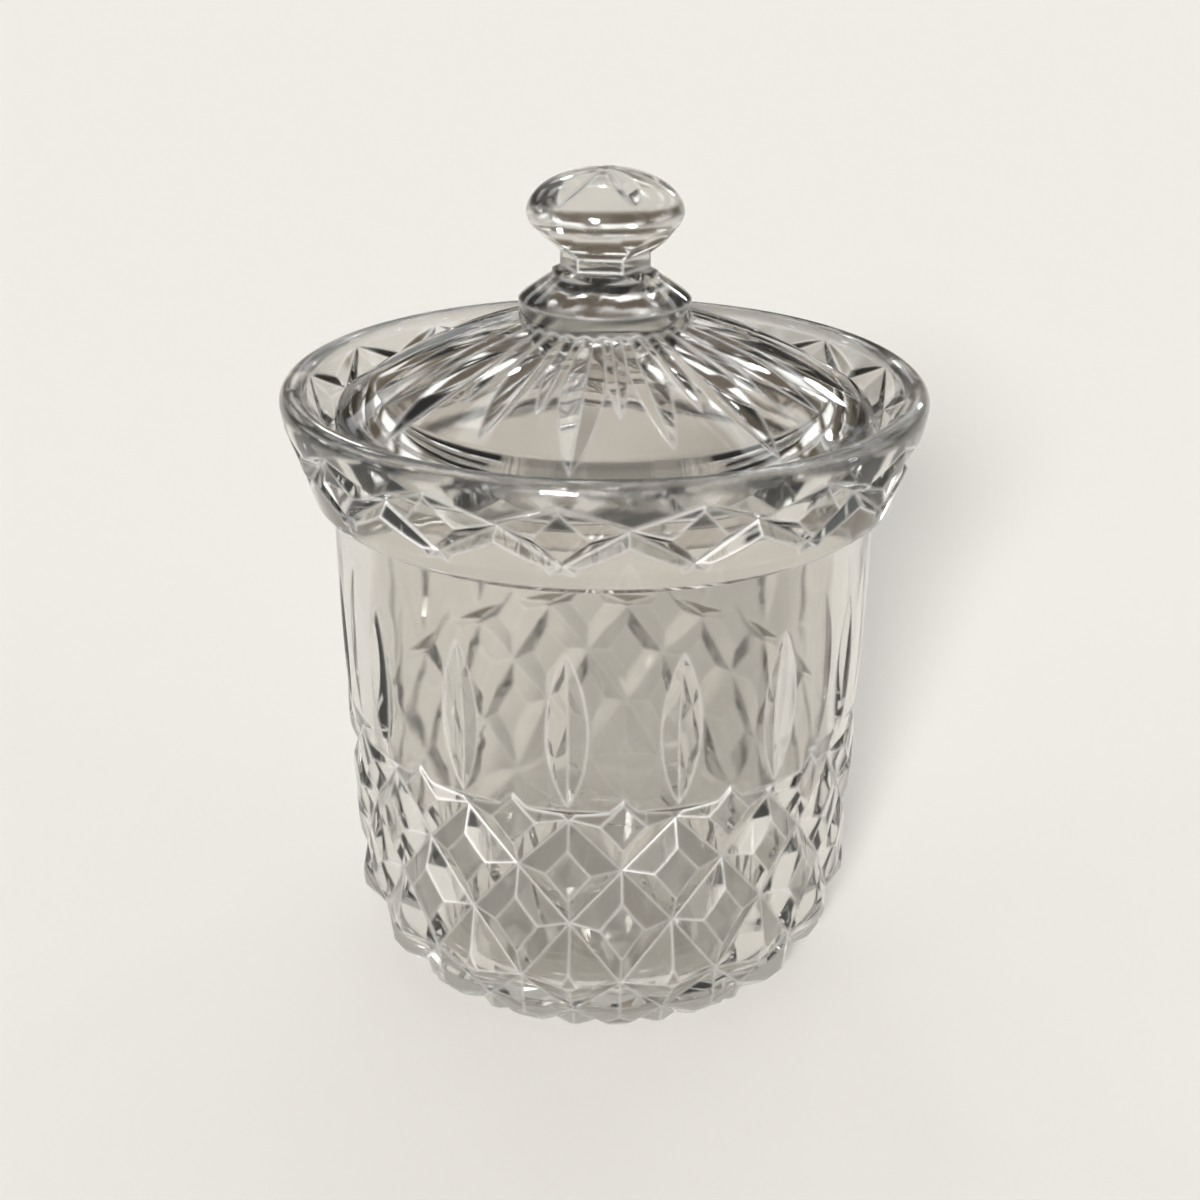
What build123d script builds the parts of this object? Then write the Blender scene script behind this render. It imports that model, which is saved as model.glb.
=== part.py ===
import os
from math import asin, cos, degrees, radians, sin, sqrt

from build123d import *

os.makedirs("parts", exist_ok=True)

# Cut-crystal canister, millimetres, base centre at the origin, +Z up, front towards -Y

# Cut pattern
CUTS_ROUND = 16
LID_REPEATS = 8
KNOB_SIDES = 6
SEAM_TURN = 3.5

# Bore of the jar, which the walls grow out from
WELL_R = 56.6
MOUTH_FLARE = 0.6
FLOOR_Z = 10.0
FLOOR_CORNER = 9.0
PUNT_R = 38.0
PUNT_RISE = 1.5

# Diamond rows of the lower body, from the crossings at the heel upwards
HEEL_ROW_Z = 5.8
HEEL_ROW_STEP = 12.02
ROW_STEP = 13.3
ROW_GROWTH = 1.127
LEDGE_RISE = 7.0
GROOVE_DEPTH = 2.4
DIAMOND_RISE = 5.4
HEEL_ROW_OUT = 2.3

# Lower body of the jar
LEDGE_WALL = 8.4
BODY_TAPER = 1.4
HEEL_Z = 24.0
HEEL_WIDTH = 10.1
HEEL_MID_Z = 8.0
HEEL_MID_OUT = 7.1

# Upper wall of the jar, with the upright lancets
WALL_HEIGHT = 51.3
WALL_SET_IN = 0.7
WALL_BELLY = 1.0
WALL_BELLY_RISE = 18.0
WALL_FLARE = 1.3
LANCET_DROP = 2.1
LANCET_LENGTH = 38.1
LANCET_SAG = 1.5
LANCET_SLOPE = 0.36

# Lid seat and flared collar of the jar
SEAT_WIDTH = 8.4
SEAT_DEPTH = 12.0
LIP_FLARE = 5.4
LIP_WIDTH = 5.8
LIP_IN_DROP = 2.6
RIM_DROP = 3.4
COLLAR_HEIGHT = 27.7
COLLAR_STEP_OUT = 1.6
COLLAR_CHAMFER_OUT = 2.8
COLLAR_CHAMFER_RISE = 2.1
COLLAR_HIGH_DROP = 7.0
COLLAR_HIGH_IN = 0.6
CROSS_DROP = 12.0
CROSS_WALL = 5.7
CROSS_HIGH_DROP = 5.4
CROSS_HIGH_DEPTH = 0.6
CROSS_LOW_RISE = 7.3
CROSS_LOW_DEPTH = 1.2
COLLAR_DIAMOND_RISE = 5.6

# Lid
SEAT_GAP = 1.4
MOUTH_GAP = 0.8
FLANGE_DEPTH = 6.0
FLANGE_WIDTH = 4.6
EDGE_HEIGHT = 6.3
EDGE_ROUND = 1.9
EDGE_CHAMFER = 0.8
CROWN_RISE = 20.1
DOME_RADIUS = 150.0
LID_THICK = 6.0
KNOB_SEAT_DEPTH = 0.8
PETAL_SLOPE = 0.4
LONG_TUCK = 4.3
LONG_MARGIN = 3.2
MEDIUM_TUCK = 5.3
MEDIUM_MARGIN = 8.9
SHORT_TUCK = 6.8
SHORT_MARGIN = 17.2

# Knob
DISC_R = 20.3
DISC_HEIGHT = 6.2
DISC_BEVEL = 1.0
SHOULDER_R = 12.4
SHOULDER_RISE = 4.8
WAIST_IN = 3.2
WAIST_RISE = 1.8
WAIST_HEIGHT = 3.2
COVE_OUT = 2.2
COVE_DROP = 1.3
FLARE_OUT = 4.2
FLARE_RISE = 6.4
GIRDLE_OUT = 1.7
GIRDLE_RISE = 2.6
GIRDLE_BEVEL = 0.7
DOME_RISE = 10.1
LEAF_IN = 1.5
LEAF_MARGIN = 1.5
LEAF_SLOPE = 0.5
KNOB_SEAT_GAP = 0.15

# Run of one band of the jar into the next, and of a cutter past what it cuts
OVERLAP = 5.0

# Radii and heights that follow from these
MOUTH_R = WELL_R + MOUTH_FLARE
LEDGE_R = WELL_R + LEDGE_WALL
HEEL_R = LEDGE_R - BODY_TAPER
FOOT_R = HEEL_R - HEEL_WIDTH
WALL_FOOT_R = LEDGE_R - WALL_SET_IN
WALL_MID_R = WALL_FOOT_R + WALL_BELLY
WALL_TOP_R = WALL_FOOT_R + WALL_FLARE
COLLAR_FOOT_R = WALL_TOP_R + COLLAR_STEP_OUT
COLLAR_LOW_R = COLLAR_FOOT_R + COLLAR_CHAMFER_OUT
SEAT_R = MOUTH_R + SEAT_WIDTH
LIP_IN_R = SEAT_R + LIP_FLARE
RIM_R = LIP_IN_R + LIP_WIDTH
COLLAR_HIGH_R = RIM_R - COLLAR_HIGH_IN
CROSS_R = SEAT_R + CROSS_WALL
GIRDLE_R = SHOULDER_R + FLARE_OUT + GIRDLE_OUT

ROW_TOP_Z = HEEL_ROW_Z + HEEL_ROW_STEP + ROW_STEP * (1 + ROW_GROWTH + ROW_GROWTH**2)
LEDGE_Z = ROW_TOP_Z + LEDGE_RISE
COLLAR_Z = LEDGE_Z + WALL_HEIGHT
COLLAR_LOW_Z = COLLAR_Z + COLLAR_CHAMFER_RISE
LIP_Z = COLLAR_Z + COLLAR_HEIGHT
RIM_Z = LIP_Z - RIM_DROP
COLLAR_HIGH_Z = LIP_Z - COLLAR_HIGH_DROP
LIP_IN_Z = LIP_Z - LIP_IN_DROP
SEAT_Z = LIP_Z - SEAT_DEPTH
CROSS_Z = LIP_Z - CROSS_DROP
CROSS_HIGH_Z = LIP_Z - CROSS_HIGH_DROP
CROSS_LOW_Z = COLLAR_Z + CROSS_LOW_RISE

PITCH = 360 / CUTS_ROUND


def at(radius, z, angle=0.0):
    """Point at a radius and height; the angle runs from the front towards +X."""
    return Vector(radius * sin(radians(angle)), -radius * cos(radians(angle)), z)


def turned(edges):
    """Solid of revolution about Z from a closed half profile drawn in X and Z."""
    return Rot(0, 0, SEAM_TURN) * revolve(make_face(edges), Axis.Z)


def run(*points):
    """Straight run of profile edges through (radius, height) points."""
    return Polyline(*[(radius, 0, z) for radius, z in points])


def bow(start, middle, end):
    """Profile arc through three (radius, height) points."""
    return ThreePointArc(*[(radius, 0, z) for radius, z in (start, middle, end)])


def soft(*poles):
    """Polished profile corner: a smooth curve drawn towards its (radius, height) poles."""
    return Bezier(*[(radius, 0, z) for radius, z in poles])


def swell(start, middle, end):
    """Free profile curve that passes its (radius, height) middle halfway along."""
    pole = [2 * mid - (one + other) / 2 for one, mid, other in zip(start, middle, end)]
    return soft(start, pole, end)


def diamond_points(rows, rise, lead):
    """Closed body of four-sided points, one for each lozenge between the groove crossings.

    rows holds (height, groove radius) from the top; every other row is half a pitch round,
    starting with the first row when lead is 1."""
    last = len(rows) - 1

    def offset(row):
        return (row + lead) % 2

    def crossing(row, step):
        z, radius = rows[row]
        return at(radius, z, PITCH * (step + offset(row) / 2))

    faces = []

    def facet(*corners):
        faces.append(Face(Wire.make_polygon(corners)))

    for step in range(CUTS_ROUND):
        for row in range(1, last):
            left = crossing(row, step)
            right = crossing(row, step + 1)
            above = crossing(row - 1, step + offset(row))
            below = crossing(row + 1, step + offset(row))
            outward = (right - left).cross(above - below).normalized()
            point = (left + right + above + below) * 0.25 + outward * rise
            facet(point, above, left)
            facet(point, left, below)
            facet(point, below, right)
            facet(point, right, above)
        for edge, inner, reach in ((0, 1, 4 * OVERLAP), (last, last - 1, -4 * OVERLAP)):
            hub = Vector(0, 0, rows[edge][0] + reach)
            beside = step + offset(edge)
            facet(hub, crossing(inner, beside - 1), crossing(edge, step))
            facet(hub, crossing(edge, step), crossing(inner, beside))
    return Solid(Shell(faces))


def wheel(low, high, sag, slope, thick):
    """Cutting wheel with a V edge whose cut runs between two (radius, height) points at the front."""
    middle = (Vector(*low) + Vector(*high)) * 0.5
    along = Vector(*high) - Vector(*low)
    inward = Vector(-along.Y, along.X).normalized()
    half = along.length / 2
    radius = (half * half + sag * sag) / (2 * sag)
    hub = middle - inward * (radius - sag)
    centre = at(hub.X, hub.Y)
    towards = at(inward.X, inward.Y)
    side = Plane(origin=centre, x_dir=(1, 0, 0), z_dir=Vector(1, 0, 0).cross(towards))
    edge = Polyline((0, radius), (thick / slope, radius - thick), (-thick / slope, radius - thick), close=True)
    return revolve(side * make_face(edge), Axis(centre, (1, 0, 0)))


def mitre(start, tip, slope, thick):
    """Straight V cut from one (radius, height) point to another at the front, open to the outside."""
    first = at(*start)
    along = at(*tip) - first
    end = Plane(origin=first, x_dir=(1, 0, 0), z_dir=along)
    section = Polyline((0, 0), (thick / slope, thick), (-thick / slope, thick), close=True)
    return extrude(end * make_face(section), along.length + 2 * thick)


def spun(tool, count, first=0.0):
    """Copies of a cutter spread evenly round the axis."""
    return [Rot(0, 0, first + 360 / count * step) * tool for step in range(count)]


def cut_each(body, tools):
    """Takes the cutters from a body one after another."""
    for tool in tools:
        body = body - tool
    return body


# Jar: lower body with the diamond cutting
def body_r(z):
    return LEDGE_R - (LEDGE_Z - z) * (LEDGE_R - HEEL_R) / (LEDGE_Z - HEEL_Z)


row_heights = [ROW_TOP_Z + ROW_STEP / ROW_GROWTH, ROW_TOP_Z]
for row in range(3):
    row_heights.append(row_heights[-1] - ROW_STEP * ROW_GROWTH**row)
body_rows = [(z, body_r(z) - GROOVE_DEPTH) for z in row_heights]
heel_row_r = FOOT_R + HEEL_ROW_OUT
body_rows.append((HEEL_ROW_Z, heel_row_r))
for row in (1, 2):
    body_rows.append((HEEL_ROW_Z * (1 - 2 * row), heel_row_r - row * (HEEL_ROW_Z + GROOVE_DEPTH)))

lower_blank = turned(
    run((FOOT_R, 0), (0, 0), (0, LEDGE_Z), (LEDGE_R, LEDGE_Z), (HEEL_R, HEEL_Z))
    + bow((HEEL_R, HEEL_Z), (FOOT_R + HEEL_MID_OUT, HEEL_MID_Z), (FOOT_R, 0))
)
lower_body = lower_blank & diamond_points(body_rows, DIAMOND_RISE, 1)

# Jar: upper wall with the lancets
wall_low_z = LEDGE_Z - LEDGE_RISE / 2
wall_end_z = wall_low_z - OVERLAP
wall_top_z = COLLAR_Z - OVERLAP
wall_blank = turned(
    run(
        (WALL_FOOT_R, wall_low_z),
        (WALL_FOOT_R - OVERLAP, wall_end_z),
        (0, wall_end_z),
        (0, COLLAR_Z + OVERLAP),
        (WALL_TOP_R, COLLAR_Z + OVERLAP),
        (WALL_TOP_R, wall_top_z),
    )
    + swell((WALL_TOP_R, wall_top_z), (WALL_MID_R, LEDGE_Z + WALL_BELLY_RISE), (WALL_FOOT_R, wall_low_z))
)
lancet_low_z = LEDGE_Z - LANCET_DROP
lancet = wheel(
    (WALL_FOOT_R, lancet_low_z),
    (WALL_TOP_R, lancet_low_z + LANCET_LENGTH),
    LANCET_SAG,
    LANCET_SLOPE,
    LANCET_SAG + OVERLAP,
)
upper_wall = cut_each(wall_blank, spun(lancet, CUTS_ROUND))


# Jar: flared collar with the crossed cuts
def collar_r(z):
    return COLLAR_LOW_R + (z - COLLAR_LOW_Z) * (COLLAR_HIGH_R - COLLAR_LOW_R) / (COLLAR_HIGH_Z - COLLAR_LOW_Z)


collar_rows = [
    (LIP_Z + 2 * OVERLAP, RIM_R + 2 * OVERLAP),
    (LIP_Z + OVERLAP, RIM_R + OVERLAP),
    (CROSS_HIGH_Z, RIM_R - CROSS_HIGH_DEPTH),
    (CROSS_Z, CROSS_R),
    (CROSS_LOW_Z, collar_r(CROSS_LOW_Z) - CROSS_LOW_DEPTH),
    (COLLAR_Z - OVERLAP / 2, COLLAR_LOW_R + OVERLAP),
    (COLLAR_Z - 2 * OVERLAP, COLLAR_LOW_R + OVERLAP),
]
lip_pole_z = (8 * LIP_Z - RIM_Z - LIP_IN_Z) / 6
collar_blank = turned(
    run(
        (RIM_R, RIM_Z),
        (COLLAR_HIGH_R, COLLAR_HIGH_Z),
        (COLLAR_LOW_R, COLLAR_LOW_Z),
        (COLLAR_FOOT_R, COLLAR_Z),
        (0, COLLAR_Z),
        (0, SEAT_Z),
        (SEAT_R, SEAT_Z),
        (LIP_IN_R, LIP_IN_Z),
    )
    + soft((LIP_IN_R, LIP_IN_Z), (LIP_IN_R, lip_pole_z), (RIM_R, lip_pole_z), (RIM_R, RIM_Z))
)
collar = collar_blank & diamond_points(collar_rows, COLLAR_DIAMOND_RISE, 0)

# Jar: inside and underside
hollow = turned(
    run(
        (WELL_R, FLOOR_Z + FLOOR_CORNER),
        (MOUTH_R, SEAT_Z),
        (MOUTH_R, SEAT_Z + OVERLAP),
        (0, SEAT_Z + OVERLAP),
        (0, FLOOR_Z),
        (WELL_R - FLOOR_CORNER, FLOOR_Z),
    )
    + soft((WELL_R - FLOOR_CORNER, FLOOR_Z), (WELL_R, FLOOR_Z), (WELL_R, FLOOR_Z + FLOOR_CORNER))
)
punt = turned(run((0, PUNT_RISE), (0, 0), (PUNT_R + PUNT_RISE, 0), (PUNT_R, PUNT_RISE), (0, PUNT_RISE)))
jar = lower_body + upper_wall + collar - hollow - punt

# Lid
lid_edge_r = SEAT_R - SEAT_GAP
flange_r = MOUTH_R - MOUTH_GAP
edge_top_z = SEAT_Z + EDGE_HEIGHT
dome_low = (lid_edge_r - EDGE_ROUND, edge_top_z + EDGE_ROUND * 0.3)
dome_high = (DISC_R, edge_top_z + CROWN_RISE)
dome_span = sqrt((dome_low[0] - dome_high[0]) ** 2 + (dome_low[1] - dome_high[1]) ** 2)
dome_lean = (dome_low[0] - dome_high[0]) / dome_span
dome_drop = (dome_high[1] - dome_low[1]) / dome_span
dome_back = sqrt(DOME_RADIUS**2 - dome_span**2 / 4)
dome_hub_r = (dome_low[0] + dome_high[0]) / 2 - dome_drop * dome_back
dome_hub_z = (dome_low[1] + dome_high[1]) / 2 - dome_lean * dome_back


def dome_z(radius, inset=0.0):
    return dome_hub_z + sqrt((DOME_RADIUS - inset) ** 2 - (radius - dome_hub_r) ** 2)


pocket_r = DISC_R + KNOB_SEAT_GAP
knob_seat_z = dome_z(pocket_r) - KNOB_SEAT_DEPTH
under_r = flange_r - FLANGE_WIDTH
crown_r = DISC_R * 0.8
dome_mid_r = (dome_low[0] + pocket_r) / 2
under_mid_r = (under_r + crown_r) / 2
lid_blank = turned(
    run(
        (crown_r, dome_z(crown_r, LID_THICK)),
        (0, dome_z(crown_r, LID_THICK)),
        (0, knob_seat_z),
        (pocket_r, knob_seat_z),
        (pocket_r, dome_z(pocket_r)),
    )
    + bow((pocket_r, dome_z(pocket_r)), (dome_mid_r, dome_z(dome_mid_r)), dome_low)
    + bow(
        dome_low,
        (lid_edge_r - EDGE_ROUND * 0.3, edge_top_z - EDGE_ROUND * 0.3),
        (lid_edge_r, edge_top_z - EDGE_ROUND),
    )
    + run(
        (lid_edge_r, edge_top_z - EDGE_ROUND),
        (lid_edge_r, SEAT_Z + EDGE_CHAMFER),
        (lid_edge_r - EDGE_CHAMFER, SEAT_Z),
        (flange_r, SEAT_Z),
        (flange_r, SEAT_Z - FLANGE_DEPTH),
        (under_r, SEAT_Z - FLANGE_DEPTH),
        (under_r, dome_z(under_r, LID_THICK)),
    )
    + bow(
        (under_r, dome_z(under_r, LID_THICK)),
        (under_mid_r, dome_z(under_mid_r, LID_THICK)),
        (crown_r, dome_z(crown_r, LID_THICK)),
    )
)


def petal(tuck, margin):
    start = DISC_R - tuck
    tip = lid_edge_r - margin
    return mitre((start, dome_z(start)), (tip, dome_z(tip)), PETAL_SLOPE, LID_THICK)


quarter_repeat = 360 / LID_REPEATS / 4
petals = (
    spun(petal(LONG_TUCK, LONG_MARGIN), LID_REPEATS)
    + spun(petal(MEDIUM_TUCK, MEDIUM_MARGIN), LID_REPEATS, 2 * quarter_repeat)
    + spun(petal(SHORT_TUCK, SHORT_MARGIN), 2 * LID_REPEATS, quarter_repeat)
)
lid = cut_each(lid_blank, petals)

# Knob
disc_top_z = knob_seat_z + DISC_HEIGHT
shoulder_z = disc_top_z + SHOULDER_RISE
waist_low_z = shoulder_z + WAIST_RISE
waist_high_z = waist_low_z + WAIST_HEIGHT
flare_z = waist_high_z + FLARE_RISE
girdle_z = flare_z + GIRDLE_RISE


def knob_dome_z(radius):
    return girdle_z + DOME_RISE * sqrt(1 - (radius / GIRDLE_R) ** 2)


head_arc = 90 - degrees(asin(LEAF_IN / GIRDLE_R))
head = Pos(0, 0, girdle_z) * Rot(90, 0, 0) * EllipticalCenterArc((0, 0), GIRDLE_R, DOME_RISE, 0, arc_size=head_arc)
head_top = head @ 1
knob_blank = turned(
    run(
        (head_top.X, head_top.Z),
        (0, head_top.Z),
        (0, knob_seat_z),
        (DISC_R, knob_seat_z),
        (DISC_R, disc_top_z - DISC_BEVEL),
        (DISC_R - DISC_BEVEL, disc_top_z),
        (SHOULDER_R, shoulder_z),
        (SHOULDER_R, waist_high_z + GIRDLE_BEVEL),
        (GIRDLE_R - GIRDLE_BEVEL, flare_z + GIRDLE_BEVEL),
        (GIRDLE_R, girdle_z),
    )
    + head
)
waist_flat = SHOULDER_R - WAIST_IN
cove_low_z = shoulder_z - COVE_DROP
clear_r = GIRDLE_R + 2 * OVERLAP
cove = make_face(
    run(
        (clear_r, flare_z),
        (SHOULDER_R + FLARE_OUT, flare_z),
        (waist_flat, waist_high_z),
        (waist_flat, waist_low_z),
        (SHOULDER_R + COVE_OUT, cove_low_z),
        (clear_r, cove_low_z),
        (clear_r, flare_z),
    )
)
side_cut = Rot(0, 0, -90) * extrude(cove, clear_r, both=True)
leaf_out = GIRDLE_R - LEAF_MARGIN
leaf = mitre((LEAF_IN, knob_dome_z(LEAF_IN)), (leaf_out, knob_dome_z(leaf_out)), LEAF_SLOPE, DOME_RISE / 2)
lid_knob = cut_each(knob_blank, spun(side_cut, KNOB_SIDES) + spun(leaf, KNOB_SIDES, 180 / KNOB_SIDES))

export_step(jar, "parts/jar.step")
export_step(lid, "parts/lid.step")
export_step(lid_knob, "parts/lid_knob.step")
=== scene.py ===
from math import cos, pi, radians, sin

import bmesh
import bpy
from mathutils import Matrix, Vector


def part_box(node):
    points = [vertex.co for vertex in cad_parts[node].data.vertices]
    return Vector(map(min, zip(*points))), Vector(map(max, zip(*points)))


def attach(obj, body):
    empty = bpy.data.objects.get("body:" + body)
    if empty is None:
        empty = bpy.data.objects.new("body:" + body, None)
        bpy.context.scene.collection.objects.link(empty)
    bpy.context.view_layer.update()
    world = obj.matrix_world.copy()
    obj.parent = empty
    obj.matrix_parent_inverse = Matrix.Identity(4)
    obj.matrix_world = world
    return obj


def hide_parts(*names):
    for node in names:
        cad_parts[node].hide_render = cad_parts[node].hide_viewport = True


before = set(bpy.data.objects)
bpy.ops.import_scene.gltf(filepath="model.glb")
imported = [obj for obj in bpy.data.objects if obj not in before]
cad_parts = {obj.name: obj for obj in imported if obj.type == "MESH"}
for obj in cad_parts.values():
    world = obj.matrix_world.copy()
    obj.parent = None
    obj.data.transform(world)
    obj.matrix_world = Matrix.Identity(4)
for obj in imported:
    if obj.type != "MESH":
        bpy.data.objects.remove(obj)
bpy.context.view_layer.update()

# Cut-crystal canister, metres, base centre at the origin, +Z up, front towards -Y

# Surfaces: merging of doubles, flat cuts, crisp edges, and the bonded seat under the knob
MERGE_DISTANCE = 0.000002
FLAT_ANGLE = radians(0.25)
SHARP_ANGLE = radians(18)
SEAT_GAP = 0.0002
SEAT_REACH = 0.00002

# Crystal: its tint in the slow waves of the polishing wheel, and its tint with depth
GLASS_IOR = 1.54
CLEAR_TINT = (0.84, 0.825, 0.80, 1.0)
WARM_TINT = (0.77, 0.74, 0.70, 1.0)
WAVE_SCALE = 60.0
WAVE_DETAIL = 1.0
WAVE_HEIGHT = 0.00012
DEPTH_TINT = (0.80, 0.86, 0.83, 1.0)
DEPTH_DENSITY = 4.0

# Softened edges: a dark border of painted shade, a light satin core with a painted highlight, and the
# glint of the outer surface
EDGE_ROUND = 0.0014
EDGE_SAMPLES = 4
# Painted shade: the dark colour along the border of each softened edge
PAINTED_BORDER_SHADE = (0.48, 0.45, 0.42, 1.0)
BORDER_SHADE_BEND = (0.0005, 0.0025)
# Painted highlight: the near-white colour in the core of each softened edge
PAINTED_CORE_HIGHLIGHT = (0.99, 0.99, 0.99, 1.0)
CORE_BEND = (0.004, 0.012)
CORE_SATIN = 0.2
GLINT_IOR = 4.0
GLINT_SPREAD = 0.48
FACE_GLINT = 0.07

# Pale floor
FLOOR_HALF = 12.0
FLOOR_COLOUR = (0.855, 0.838, 0.80, 1.0)
FLOOR_ROUGHNESS = 0.9
FLOOR_GLOW = 0.26

# Studio walls and ceiling by height above the horizon: (sine of the height, colour)
WALLS = (
    (0.00, (0.83, 0.81, 0.77)),
    (0.04, (0.34, 0.295, 0.235)),
    (0.11, (0.15, 0.12, 0.085)),
    (0.66, (0.15, 0.12, 0.09)),
    (0.76, (0.17, 0.15, 0.13)),
    (0.90, (0.18, 0.17, 0.16)),
    (1.00, (0.32, 0.315, 0.31)),
)

# Light panels round the studio: degrees from the front towards +X, then the rows of panels
# as (turns, lowest side, highest side, strength)
SIDE_TURNS = (60, 87, 114, 249, 276, 303)
BACK_TURNS = (141, 168, 195, 222)
PANEL_ROWS = (
    (SIDE_TURNS, radians(11), radians(14), 2.6),
    (SIDE_TURNS + BACK_TURNS, radians(18), radians(22), 1.5),
    (SIDE_TURNS + BACK_TURNS, radians(33), radians(37), 2.1),
    (BACK_TURNS, radians(50), radians(56), 2.6),
)
PANEL_HALF = radians(9)
PANEL_EDGE = radians(2)
PANEL_COLOUR = (0.94, 0.975, 1.0)

# Small lamps among the panels: degrees from the front towards +X, degrees of height
LAMPS = (
    (160, 16),
    (200, 24),
    (175, 36),
    (215, 40),
    (150, 52),
    (190, 58),
    (75, 12),
    (285, 13),
    (100, 15),
    (255, 14),
)
LAMP_HALF = radians(1.8)
LAMP_EDGE = radians(0.6)
LAMP_STRENGTH = 18.0

# Key light, turned from the front towards +X
KEY_TURN = radians(-8)
KEY_HEIGHT = radians(20)
KEY_WIDTH = radians(12)
KEY_COLOUR = (1.0, 0.985, 0.96)
KEY_STRENGTH = 4.4
LIGHT_BOUNCES = 32

# Camera, as far from the object and as high as in the photograph
CAMERA_TURN = radians(7.0)
CAMERA_PITCH = radians(23.9)
CAMERA_DISTANCE = 0.4427
CAMERA_AIM_Z = 0.0901
CAMERA_AIM_LEFT = 0.0008
CAMERA_ROLL = radians(0.3)
CAMERA_LENS = 52.7
CAMERA_SENSOR = 36.0


def number(tree, operation, *values, clamp=False):
    """A sum on values, each a plain number or the output of a node."""
    node = tree.nodes.new("ShaderNodeMath")
    node.operation = operation
    node.use_clamp = clamp
    for socket, value in zip(node.inputs, values):
        if isinstance(value, float):
            socket.default_value = value
        else:
            tree.links.new(value, socket)
    return node.outputs["Value"]


def fade(tree, value, start, end):
    """A soft change from 0 at the start to 1 at the end."""
    node = tree.nodes.new("ShaderNodeMapRange")
    node.interpolation_type = "SMOOTHSTEP"
    node.inputs["From Min"].default_value = start
    node.inputs["From Max"].default_value = end
    tree.links.new(value, node.inputs["Value"])
    return node.outputs["Result"]


def over(tree, below, colour, share):
    """A plain colour laid over the one below by its share."""
    node = tree.nodes.new("ShaderNodeMix")
    node.data_type = "RGBA"
    node.inputs["B"].default_value = colour
    tree.links.new(share, node.inputs["Factor"])
    tree.links.new(below, node.inputs["A"])
    return node.outputs["Result"]


def crystal_material():
    """Heavy clear crystal with softened edges: painted shade along their borders, a painted highlight in
    their core, and a glint that catches the light.
    """
    material = bpy.data.materials.new("clear_crystal")
    material.use_nodes = True
    tree = material.node_tree
    nodes = tree.nodes
    links = tree.links
    shader = nodes["Principled BSDF"]
    shader.inputs["IOR"].default_value = GLASS_IOR
    shader.inputs["Transmission Weight"].default_value = 1.0
    shader.inputs["Coat IOR"].default_value = GLINT_IOR
    shader.inputs["Coat Roughness"].default_value = GLINT_SPREAD

    # Slow waves
    waves = nodes.new("ShaderNodeTexNoise")
    waves.inputs["Scale"].default_value = WAVE_SCALE
    waves.inputs["Detail"].default_value = WAVE_DETAIL
    links.new(nodes.new("ShaderNodeTexCoord").outputs["Object"], waves.inputs["Vector"])
    tint = nodes.new("ShaderNodeValToRGB")
    tint.color_ramp.elements[0].color = WARM_TINT
    tint.color_ramp.elements[1].color = CLEAR_TINT
    links.new(waves.outputs["Fac"], tint.inputs["Fac"])

    # Softened edges, found by how far the rounded surface bends away from the cut
    edges = nodes.new("ShaderNodeBevel")
    edges.samples = EDGE_SAMPLES
    edges.inputs["Radius"].default_value = EDGE_ROUND
    surface = nodes.new("ShaderNodeNewGeometry")
    alike = nodes.new("ShaderNodeVectorMath")
    alike.operation = "DOT_PRODUCT"
    links.new(edges.outputs["Normal"], alike.inputs[0])
    links.new(surface.outputs["Normal"], alike.inputs[1])
    bend = number(tree, "SUBTRACT", 1.0, alike.outputs["Value"])
    core = fade(tree, bend, *CORE_BEND)
    # Painted shade: a dark colour laid along the border of each softened edge
    border_shaded = over(tree, tint.outputs["Color"], PAINTED_BORDER_SHADE, fade(tree, bend, *BORDER_SHADE_BEND))
    # Painted highlight: a near-white colour laid in the core of each softened edge
    links.new(over(tree, border_shaded, PAINTED_CORE_HIGHLIGHT, core), shader.inputs["Base Color"])
    links.new(number(tree, "MULTIPLY", core, CORE_SATIN), shader.inputs["Roughness"])
    glint = number(tree, "MAXIMUM", core, FACE_GLINT)
    outer_glint = number(tree, "SUBTRACT", glint, surface.outputs["Backfacing"], clamp=True)
    links.new(outer_glint, shader.inputs["Coat Weight"])

    wavy = nodes.new("ShaderNodeBump")
    wavy.inputs["Distance"].default_value = WAVE_HEIGHT
    links.new(waves.outputs["Fac"], wavy.inputs["Height"])
    links.new(edges.outputs["Normal"], wavy.inputs["Normal"])
    links.new(wavy.outputs["Normal"], shader.inputs["Normal"])

    depth = nodes.new("ShaderNodeVolumeAbsorption")
    depth.inputs["Color"].default_value = DEPTH_TINT
    depth.inputs["Density"].default_value = DEPTH_DENSITY
    links.new(depth.outputs["Volume"], nodes["Material Output"].inputs["Volume"])
    return material


def closed_form(node):
    """The form of a node as one closed surface."""
    form = bmesh.new()
    form.from_mesh(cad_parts[node].data)
    bmesh.ops.remove_doubles(form, verts=form.verts, dist=MERGE_DISTANCE)
    bmesh.ops.dissolve_limit(
        form,
        angle_limit=FLAT_ANGLE,
        use_dissolve_boundaries=False,
        verts=form.verts,
        edges=form.edges,
    )
    return form


def new_piece(name, form):
    """An object at the origin with the given form."""
    mesh = bpy.data.meshes.new(name)
    form.to_mesh(mesh)
    form.free()
    piece = bpy.data.objects.new(name, mesh)
    bpy.context.collection.objects.link(piece)
    return piece


def polish(piece, material, body, *nodes):
    """Flat cuts and clean curves on a crystal piece that stands for the named nodes."""
    form = bmesh.new()
    form.from_mesh(piece.data)
    for face in form.faces:
        face.smooth = True
        face.material_index = 0
    for edge in form.edges:
        edge.smooth = edge.calc_face_angle(0.0) < SHARP_ANGLE
    form.to_mesh(piece.data)
    form.free()
    piece.data.materials.clear()
    piece.data.materials.append(material)
    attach(piece, body)
    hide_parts(*nodes)


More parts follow.
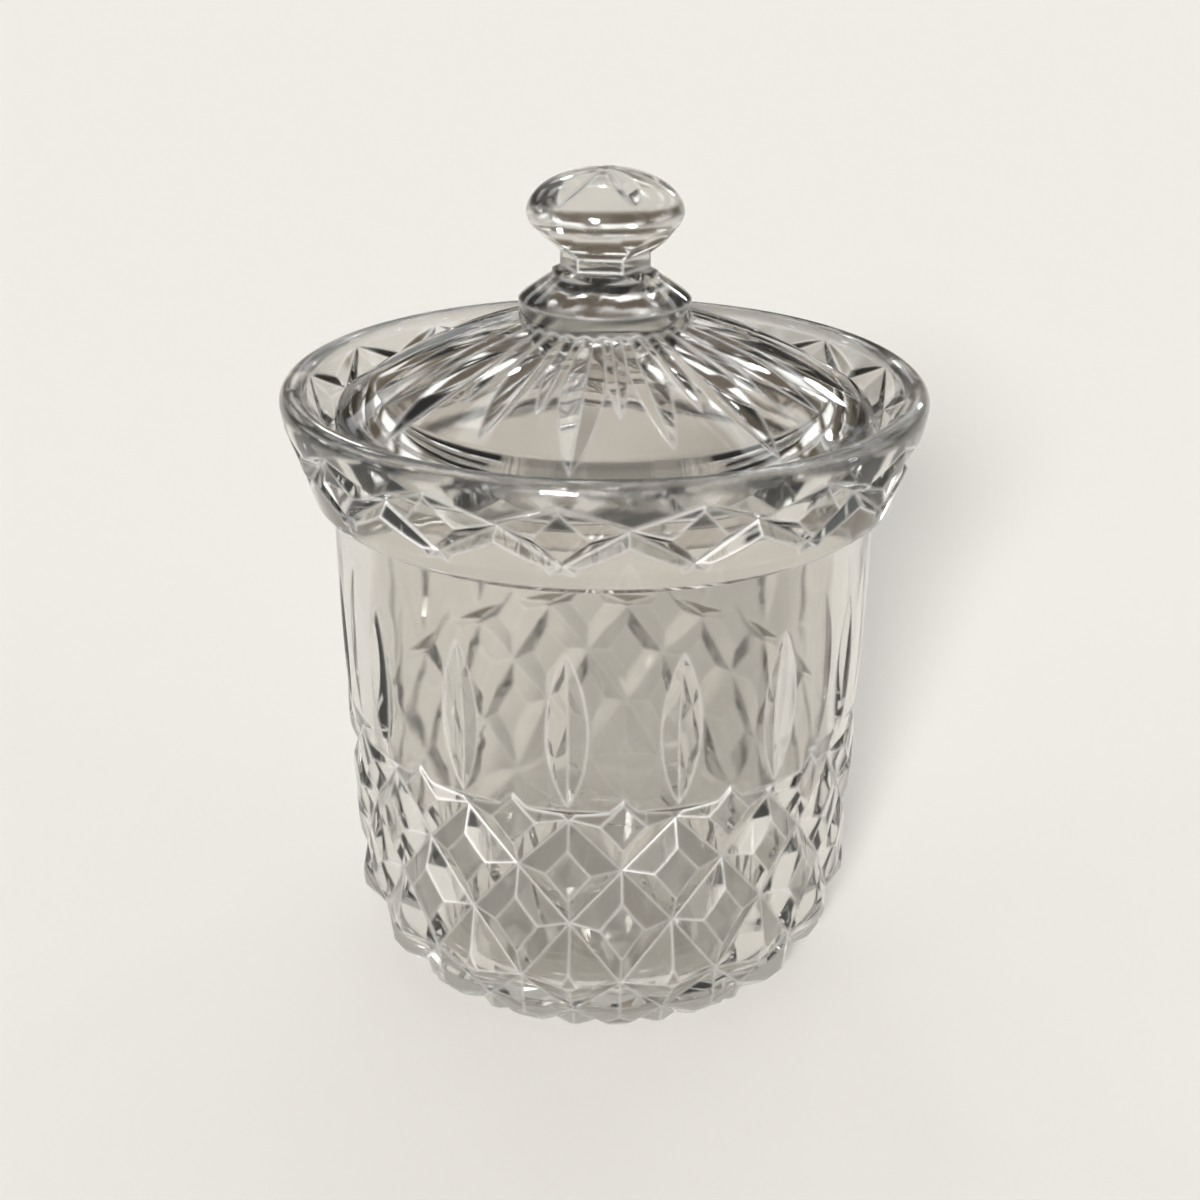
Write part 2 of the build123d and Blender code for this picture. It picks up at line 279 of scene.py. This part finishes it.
def lid_with_knob():
    """The lid and its knob as one surface, without the bonded faces between them."""
    seat_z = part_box("lid_knob")[0].z
    disc_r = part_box("lid_knob")[1].x

    def in_pocket(vert):
        return vert.co.xy.length < disc_r + SEAT_GAP and vert.co.z > seat_z - SEAT_REACH

    def on_seat(vert):
        return vert.co.z < seat_z + SEAT_REACH

    lid = closed_form("lid")
    pocket = [face for face in lid.faces if all(in_pocket(vert) for vert in face.verts)]
    bmesh.ops.delete(lid, geom=pocket, context="FACES")
    knob = closed_form("lid_knob")
    foot = [face for face in knob.faces if all(on_seat(vert) for vert in face.verts)]
    bmesh.ops.delete(knob, geom=foot, context="FACES")
    mesh = bpy.data.meshes.new("knob")
    knob.to_mesh(mesh)
    knob.free()
    lid.from_mesh(mesh)
    bpy.data.meshes.remove(mesh)
    rims = [edge for edge in lid.edges if edge.is_boundary]
    bmesh.ops.bridge_loops(lid, edges=rims)
    return lid


def pale_floor():
    """Wide floor that shows as pale and keeps the shadow of the object."""
    form = bmesh.new()
    bmesh.ops.create_grid(form, x_segments=1, y_segments=1, size=FLOOR_HALF)
    floor = new_piece("floor", form)
    material = bpy.data.materials.new("pale_floor")
    material.use_nodes = True
    tree = material.node_tree
    nodes = tree.nodes
    links = tree.links
    shader = nodes["Principled BSDF"]
    shader.inputs["Base Color"].default_value = FLOOR_COLOUR
    shader.inputs["Roughness"].default_value = FLOOR_ROUGHNESS
    shader.inputs["Specular IOR Level"].default_value = 0.0
    glow = nodes.new("ShaderNodeEmission")
    glow.inputs["Color"].default_value = FLOOR_COLOUR
    rays = nodes.new("ShaderNodeLightPath")
    seen = rays.outputs["Is Camera Ray"]
    for kind in ("Is Glossy Ray", "Is Transmission Ray"):
        seen = number(tree, "MAXIMUM", seen, rays.outputs[kind])
    mix = nodes.new("ShaderNodeMixShader")
    links.new(number(tree, "MULTIPLY", seen, FLOOR_GLOW), mix.inputs["Fac"])
    links.new(shader.outputs["BSDF"], mix.inputs[1])
    links.new(glow.outputs["Emission"], mix.inputs[2])
    links.new(mix.outputs["Shader"], nodes["Material Output"].inputs["Surface"])
    floor.data.materials.append(material)


def wall_colour(tree, height):
    """Colour of the studio walls and ceiling by the sine of the height."""
    ramp = tree.nodes.new("ShaderNodeValToRGB")
    ramp.color_ramp.interpolation = "EASE"
    stops = ramp.color_ramp.elements
    while len(stops) < len(WALLS):
        stops.new(1.0)
    for stop, (position, colour) in zip(stops, WALLS):
        stop.position = position
        stop.color = (*colour, 1.0)
    tree.links.new(height, ramp.inputs["Fac"])
    return ramp.outputs["Color"]


def direction(turn, height):
    """Direction at a turn from the front towards +X and a height above the horizon."""
    return Vector((sin(turn) * cos(height), -cos(turn) * cos(height), sin(height)))


def panel_light(tree, bearing, height):
    """Brightness of the light panels at a bearing and a sine of the height."""
    panels = 0.0
    for turns, low, high, strength in PANEL_ROWS:
        columns = 0.0
        for turn in turns:
            apart = number(tree, "SUBTRACT", bearing, radians(turn))
            aside = number(tree, "ABSOLUTE", number(tree, "WRAP", apart, pi, -pi))
            columns = number(tree, "ADD", fade(tree, aside, PANEL_HALF + PANEL_EDGE, PANEL_HALF), columns)
        above = fade(tree, height, sin(low - PANEL_EDGE), sin(low))
        below = fade(tree, height, sin(high + PANEL_EDGE), sin(high))
        row = number(tree, "MULTIPLY", columns, number(tree, "MULTIPLY", above, below))
        panels = number(tree, "MULTIPLY_ADD", row, strength, panels)
    return panels


def lamp_light(tree, towards, light):
    """Brightness of the small lamps in a direction, added to other light."""
    for turn, height in LAMPS:
        near = tree.nodes.new("ShaderNodeVectorMath")
        near.operation = "DOT_PRODUCT"
        near.inputs[1].default_value = direction(radians(turn), radians(height))
        tree.links.new(towards, near.inputs[0])
        spot = fade(tree, near.outputs["Value"], cos(LAMP_HALF + LAMP_EDGE), cos(LAMP_HALF))
        light = number(tree, "MULTIPLY_ADD", spot, LAMP_STRENGTH, light)
    return light


def studio_world():
    """Dim studio with light panels and small lamps at its sides and back."""
    world = bpy.data.worlds.new("soft_studio")
    world.use_nodes = True
    tree = world.node_tree
    nodes = tree.nodes
    links = tree.links
    towards = nodes.new("ShaderNodeTexCoord").outputs["Generated"]
    split = nodes.new("ShaderNodeSeparateXYZ")
    links.new(towards, split.inputs["Vector"])
    front = number(tree, "MULTIPLY", split.outputs["Y"], -1.0)
    bearing = number(tree, "ARCTAN2", split.outputs["X"], front)
    strength = lamp_light(tree, towards, panel_light(tree, bearing, split.outputs["Z"]))
    lamps = nodes.new("ShaderNodeVectorMath")
    lamps.operation = "SCALE"
    lamps.inputs[0].default_value = PANEL_COLOUR
    links.new(strength, lamps.inputs["Scale"])
    light = nodes.new("ShaderNodeVectorMath")
    light.operation = "ADD"
    links.new(wall_colour(tree, split.outputs["Z"]), light.inputs[0])
    links.new(lamps.outputs["Vector"], light.inputs[1])
    links.new(light.outputs["Vector"], nodes["Background"].inputs["Color"])
    bpy.context.scene.world = world


def key_light():
    """Soft key light that casts the shadow behind the object."""
    data = bpy.data.lights.new("key", "SUN")
    data.angle = KEY_WIDTH
    data.color = KEY_COLOUR
    data.energy = KEY_STRENGTH
    key = bpy.data.objects.new("key", data)
    bpy.context.collection.objects.link(key)
    key.rotation_euler = direction(KEY_TURN, KEY_HEIGHT).to_track_quat("Z", "Y").to_euler()
    key.visible_transmission = False


def photograph_camera():
    """Camera at the viewing angle of the photograph."""
    data = bpy.data.cameras.new("camera")
    data.lens = CAMERA_LENS
    data.sensor_width = CAMERA_SENSOR
    camera = bpy.data.objects.new("camera", data)
    bpy.context.collection.objects.link(camera)
    away = direction(CAMERA_TURN, CAMERA_PITCH)
    left = Vector((-cos(CAMERA_TURN), -sin(CAMERA_TURN), 0.0))
    aim = Vector((0.0, 0.0, CAMERA_AIM_Z)) + left * CAMERA_AIM_LEFT
    place = Matrix.Translation(aim + away * CAMERA_DISTANCE)
    turn = away.to_track_quat("Z", "Y").to_matrix().to_4x4()
    camera.matrix_world = place @ turn @ Matrix.Rotation(CAMERA_ROLL, 4, "Z")
    bpy.context.scene.camera = camera


crystal = crystal_material()
polish(new_piece("jar_crystal", closed_form("jar")), crystal, "jar", "jar")
polish(new_piece("lid_crystal", lid_with_knob()), crystal, "lid", "lid", "lid_knob")
pale_floor()
studio_world()
key_light()
photograph_camera()

scene = bpy.context.scene
scene.view_settings.view_transform = "Standard"
scene.cycles.max_bounces = LIGHT_BOUNCES
scene.cycles.transmission_bounces = LIGHT_BOUNCES
